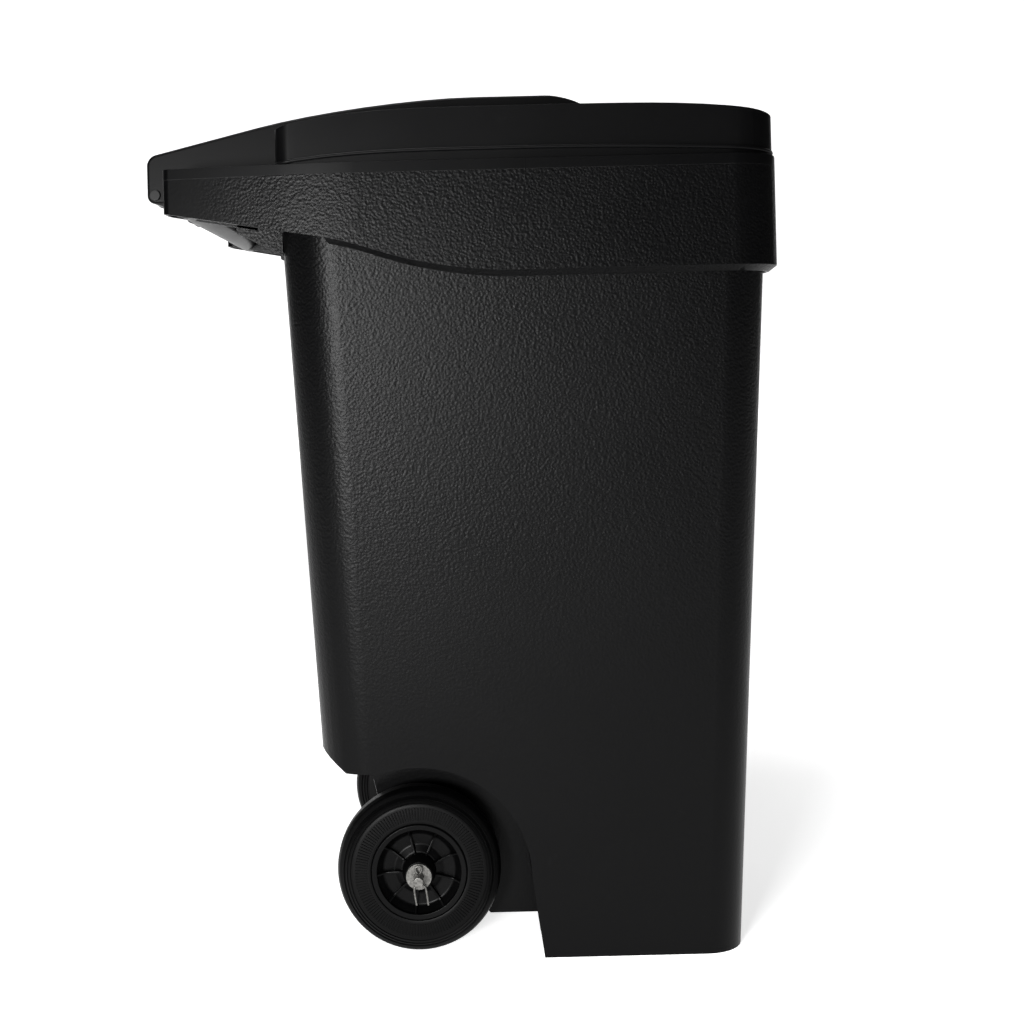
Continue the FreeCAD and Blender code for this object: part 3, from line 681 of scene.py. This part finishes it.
OUT, WHEEL_STEPS = WHEEL_Y + TYRE_HALF, 128
wall = [(59, OUT - 1.5, 0), (62, OUT - 0.6, 0), (79, OUT - 1.4, 0)]
for ring_radius in (83, 87, 91):
    drop = 1.6 + (ring_radius - 79) ** 2 * 0.03
    wall += [(ring_radius - 1, OUT - drop, 0), (ring_radius, OUT - drop - 0.9, 0),
             (ring_radius + 1, OUT - drop - 0.2, 0)]
inside = [(radius, 2 * WHEEL_Y - along, fillet) for radius, along, fillet in reversed(wall)]
tread = [(97, OUT - 9.5, 6), (99.8, OUT - 17, 8), (99.8, WHEEL_Y - 7, 8), (97, WHEEL_Y - TYRE_HALF + 9.5, 6)]
tyre = spun("tyre_left_look", wall + tread + inside, WHEEL_STEPS)
bpy.ops.object.select_all(action="DESELECT")
bpy.ops.mesh.primitive_cube_add(size=1, location=(WHEEL_X * MM, (OUT - 0.7) * MM, (WHEEL_Z + 70.5) * MM))
knurl = bpy.context.object
knurl.scale = (1.5 * MM, 1.6 * MM, 15 * MM)
bpy.ops.object.transform_apply(location=True, rotation=False, scale=True)
knurl.name = "knurl"
softened(knurl, 0.35, 1, 40)
knurl_band = around_axle(knurl, 132)
joined("tyre_left_look", tyre, knurl_band)
RUBBER = plastic("tyre_rubber", (0.0006, 0.0006, 0.0007), (0.0013, 0.0013, 0.0013), 0.36, 0.48,
                 grain=1500, depth=0.6, bump=0.35, sheen=0.06)
tyre_right = mirrored(tyre, "tyre_right_look")
dressed(tyre, RUBBER, "wheel_left", "tyre_left")
dressed(tyre_right, RUBBER, "wheel_right", "tyre_right")

# Wheel centres: black plastic, moulded in one with a raised ring that the tyre sits on, a dished
# disc, a hub and nine thin ribs.
HUB_BORE = 14.1
HUB_IN, HUB_OUT = WHEEL_Y - HUB_HALF, WHEEL_Y + HUB_HALF
ring = spun("rim_ring", [
    (51, OUT - 6, 0), (51, OUT - 0.6, 1), (57, OUT - 0.2, 1.2), (58.8, OUT - 3, 0), (58.8, OUT - 46, 0),
    (57, OUT - 47.6, 1), (51, OUT - 47, 1), (51, OUT - 42, 0)], WHEEL_STEPS)
dish = spun("rim_dish", [
    (HUB_BORE, OUT - 10, 0), (22, OUT - 11, 3), (30, OUT - 15, 5), (44, OUT - 14, 5), (52, OUT - 5, 0),
    (52, OUT - 9, 0), (44, OUT - 18, 5), (30, OUT - 19, 5), (22, OUT - 15, 3), (HUB_BORE, OUT - 14, 0)],
    WHEEL_STEPS)
hub = spun("rim_hub", [
    (HUB_BORE, HUB_IN + 0.1, 0), (19, HUB_IN + 0.1, 1), (21, WHEEL_Y, 0), (20.5, WHEEL_Y + 20, 3),
    (16.5, HUB_OUT - 0.1, 1), (HUB_BORE, HUB_OUT - 0.1, 0)], 96)
rib = extruded("rib", "YZ", [
    (OUT - 40, WHEEL_Z + 15, 0), (OUT - 2, WHEEL_Z + 15, 0), (OUT - 7, WHEEL_Z + 24, 8),
    (OUT - 9, WHEEL_Z + 42, 8), (OUT - 1.5, WHEEL_Z + 53, 0), (OUT - 40, WHEEL_Z + 53, 0)],
    WHEEL_X - 1.3, 2.6)
softened(rib, 0.7, 2, 40)
turned(rib, math.radians(-54))
ribs = around_axle(rib, 9)
rim = joined("wheel_rim_left_look", ring, dish, hub, ribs)
rim_right = mirrored(rim, "wheel_rim_right_look")
WHEEL_PLASTIC = plastic("wheel_plastic", (0.0006, 0.0006, 0.0007), (0.0012, 0.0012, 0.0012), 0.3, 0.42,
                        grain=1000, depth=0.3, bump=0.25, sheen=0.06)
dressed(rim, WHEEL_PLASTIC, "wheel_left", "wheel_rim_left")
dressed(rim_right, WHEEL_PLASTIC, "wheel_right", "wheel_rim_right")

# Hub bushes: plain plastic sleeves pressed into the wheel centres. They run on the axle with a
# little clearance.
AXLE_RADIUS, TIP_RADIUS, CLEARANCE = 10, 6, 0.05
bush = spun("hub_bush_left_look", [
    (AXLE_RADIUS + CLEARANCE, HUB_IN, 0.6), (HUB_BORE, HUB_IN, 0.5), (HUB_BORE, HUB_OUT, 0.5),
    (AXLE_RADIUS + CLEARANCE, HUB_OUT, 0.6)], 64)
bush_right = mirrored(bush, "hub_bush_right_look")
BUSH_PLASTIC = plastic("bush_plastic", (0.03, 0.03, 0.03), (0.05, 0.05, 0.048), 0.35, 0.5,
                       grain=1200, depth=0.3, bump=0.2, sheen=0.2)
dressed(bush, BUSH_PLASTIC, "wheel_left", "hub_bush_left")
dressed(bush_right, BUSH_PLASTIC, "wheel_right", "hub_bush_right")

# Axle and washers: zinc-plated steel, a little dulled. The axle has a thinner tip at each end, an
# inner washer runs between body and hub, and an outer one lies against the axle's shoulder.


def zinc(name):
    """Plated steel whose colour and gloss change with its fine crystals."""
    material = bpy.data.materials.new(name)
    material.use_nodes = True
    nodes, links = material.node_tree.nodes, material.node_tree.links
    shader = nodes["Principled BSDF"]
    shader.inputs["Metallic"].default_value = 0.9
    surface = nodes.new("ShaderNodeGroup")
    surface.node_tree = SURFACE
    surface.inputs["Grain Size"].default_value = 400
    spangle = nodes.new("ShaderNodeMix")
    spangle.data_type = "RGBA"
    spangle.inputs["A"].default_value = (0.04, 0.039, 0.036, 1)
    spangle.inputs["B"].default_value = (0.14, 0.137, 0.13, 1)
    links.new(surface.outputs["Height"], spangle.inputs["Factor"])
    links.new(spangle.outputs["Result"], shader.inputs["Base Color"])
    gloss = nodes.new("ShaderNodeMapRange")
    gloss.inputs["To Min"].default_value = 0.28
    gloss.inputs["To Max"].default_value = 0.55
    links.new(surface.outputs["Height"], gloss.inputs["Value"])
    links.new(gloss.outputs["Result"], shader.inputs["Roughness"])
    relief = nodes.new("ShaderNodeBump")
    relief.inputs["Strength"].default_value = 0.2
    relief.inputs["Distance"].default_value = 0.0003
    links.new(surface.outputs["Height"], relief.inputs["Height"])
    links.new(relief.outputs["Normal"], shader.inputs["Normal"])
    return material


ZINC = zinc("zinc_steel")
AXLE_HALF, TIP_HALF = 211.3, 233.2
axle = softened(rod("axle_look", AXLE_RADIUS, WHEEL_X, WHEEL_Z, -AXLE_HALF, 2 * AXLE_HALF), 1, 2, 40)
tips = softened(rod("axle_tips", TIP_RADIUS, WHEEL_X, WHEEL_Z, -TIP_HALF, 2 * TIP_HALF, 48), 1, 2, 40)
joined("axle_look", axle, tips)
dressed(axle, ZINC, "bin", "axle")
for label, shaft, start in (("inner", AXLE_RADIUS, 136.2), ("outer", TIP_RADIUS, AXLE_HALF + CLEARANCE)):
    bore, end = shaft + CLEARANCE, start + 2.5
    washer = spun("%s_washer_left_look" % label,
                  [(bore, start, 0.3), (15.4, start, 0.4), (15.4, end, 0.4), (bore, end, 0.3)], 64)
    washer_right = mirrored(washer, "%s_washer_right_look" % label)
    dressed(washer, ZINC, "bin", "%s_washer_left" % label)
    dressed(washer_right, ZINC, "bin", "%s_washer_right" % label)

# Split pins: soft zinc-plated wire through a hole in each tip of the axle. Its loop stands over
# the tip, and both legs are spread below it.


def wire(name, radius, path):
    """A round wire that follows a path, made from a curve with a round bevel."""
    bpy.ops.object.select_all(action="DESELECT")
    bpy.ops.curve.primitive_nurbs_path_add(location=(0, 0, 0))
    run = bpy.context.object
    run.name = name
    spline = run.data.splines[0]
    spline.points.add(len(path) - len(spline.points))
    for point, (x, y, z) in zip(spline.points, path):
        point.co = (x * MM, y * MM, z * MM, 1)
    spline.use_endpoint_u = True
    spline.order_u = 3
    run.data.bevel_depth = radius * MM
    run.data.bevel_resolution = 4
    run.data.resolution_u = 6
    run.data.use_fill_caps = True
    bpy.ops.object.convert(target="MESH")
    wired = bpy.context.object
    select_whole(wired)
    bpy.ops.mesh.remove_doubles(threshold=1e-6)
    bpy.ops.object.mode_set(mode="OBJECT")
    outward(wired)
    return wired


PIN_Y = 218.1
legs = []
for side, shoulder, tip in ((-1, -6, -3.2), (1, 8.4, 11)):
    path = [(0, 114), (side * 3.6, 114), (side * 4, 110), (side * 1.5, 106), (side * 1.3, 100),
            (side * 1.3, 94), (shoulder * 0.7, 91.5), (shoulder, 88), ((shoulder + tip) / 2, 77), (tip, 68)]
    legs.append(wire("leg", 1.25, [(WHEEL_X + across, PIN_Y, up) for across, up in path]))
split_pin = joined("split_pin_left_look", *legs)
split_pin_right = mirrored(split_pin, "split_pin_right_look")
dressed(split_pin, ZINC, "bin", "split_pin_left")
dressed(split_pin_right, ZINC, "bin", "split_pin_right")
